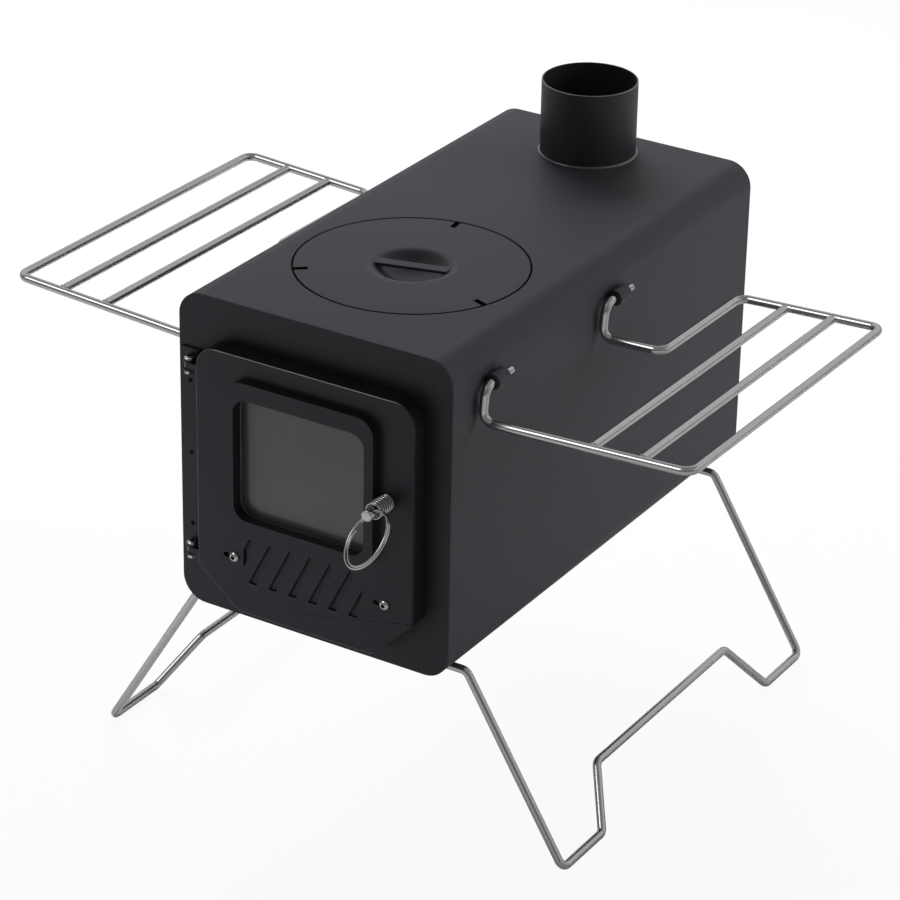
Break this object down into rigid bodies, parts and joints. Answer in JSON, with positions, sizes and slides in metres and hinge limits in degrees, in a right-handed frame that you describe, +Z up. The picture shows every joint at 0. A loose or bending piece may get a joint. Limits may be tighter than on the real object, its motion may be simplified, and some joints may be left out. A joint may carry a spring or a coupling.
{
  "type": "tent wood stove",
  "caption": "Folding tent wood stove: steel firebox with a glazed door, air vent, sprung latch, lift-out hot plate, flue stub, and folding wire shelves and legs.",
  "frame": {"origin": "middle of the whole part's footprint, on the ground that the feet stand on", "axes": "+Z up; -Y towards the door; +X to the right when facing the door"},
  "size_m": [0.5073, 0.4426, 0.3945],
  "materials": {
    "black_paint": "matt black heat-resistant paint",
    "door_paint": "matt black heat-resistant paint",
    "flue_paint": "matt black heat-resistant paint",
    "bright_steel": "polished stainless steel",
    "zinc_steel": "plain steel",
    "gasket": "woven glass-fibre tape",
    "smoked_glass": "smooth ceramic glass"
  },
  "bodies": {
    "stove": {"firebox_shell": "black_paint", "front_plate": "black_paint", "rear_plate": "black_paint", "flue_stub": "flue_paint", "lid_seat": "black_paint", "hinge_leaf": "door_paint", "hinge_rivets": "door_paint", "hinge_bolts": "bright_steel", "hinge_nuts": "bright_steel", "shelf_sleeves_right": "black_paint", "shelf_sleeves_left": "black_paint", "leg_clips": "black_paint", "fire_grate": "zinc_steel"},
    "lid": {"hot_plate_lid": "black_paint", "lid_grip": "black_paint"},
    "door": {"door_panel": "door_paint", "window_frame": "door_paint", "window_glass": "smoked_glass", "glass_gasket": "gasket", "glass_retainer": "zinc_steel", "retainer_studs": "zinc_steel", "retainer_nuts": "bright_steel"},
    "vent": {"vent_slider": "door_paint", "vent_screws": "bright_steel", "vent_nuts": "bright_steel"},
    "latch": {"latch_pin": "bright_steel", "latch_spring": "bright_steel", "latch_tongue": "zinc_steel", "latch_nut": "bright_steel"},
    "ring": {"latch_ring": "bright_steel"},
    "shelf_right": {"shelf_right_frame": "bright_steel", "shelf_right_bars": "bright_steel"},
    "shelf_left": {"shelf_left_frame": "bright_steel", "shelf_left_bars": "bright_steel"},
    "right_leg": {"leg_right": "bright_steel"},
    "left_leg": {"leg_left": "bright_steel"}
  },
  "joints": [
    {"name": "door_hinge", "type": "hinge", "parent": "stove", "child": "door", "pos_m": [-0.0875, -0.16624, 0.2345], "axis": [0, 0, -1], "range_deg": [0, 165]},
    {"name": "lid_lift", "type": "slide", "parent": "stove", "child": "lid", "axis": [0, 0, 1], "range_m": [0, 0.08]},
    {"name": "vent_slide", "type": "slide", "parent": "door", "child": "vent", "axis": [-1, 0, 0], "range_m": [-0.0023, 0.0065]},
    {"name": "latch_turn", "type": "hinge", "parent": "door", "child": "latch", "pos_m": [0.0624, -0.18974, 0.2465], "axis": [0, -1, 0], "range_deg": [0, 90]},
    {"name": "ring_swing", "type": "hinge", "parent": "latch", "child": "ring", "pos_m": [0.0624, -0.18974, 0.2465], "axis": [-0.788, 0, -0.6157], "range_deg": [-52, 90]},
    {"name": "shelf_right_fold", "type": "hinge", "parent": "stove", "child": "shelf_right", "pos_m": [0.1049, -0.12924, 0.3184], "axis": [0, 1, 0], "range_deg": [-166, 0]},
    {"name": "shelf_left_fold", "type": "hinge", "parent": "stove", "child": "shelf_left", "pos_m": [-0.1049, -0.12924, 0.3184], "axis": [0, -1, 0], "range_deg": [-153, 0]},
    {"name": "leg_right_fold", "type": "hinge", "parent": "stove", "child": "right_leg", "pos_m": [0.07, -0.13524, 0.1229], "axis": [0, -1, 0], "range_deg": [-126, 0]},
    {"name": "leg_left_fold", "type": "hinge", "parent": "stove", "child": "left_leg", "pos_m": [-0.07, -0.14184, 0.1229], "axis": [0, 1, 0], "range_deg": [-126, 0]}
  ]
}
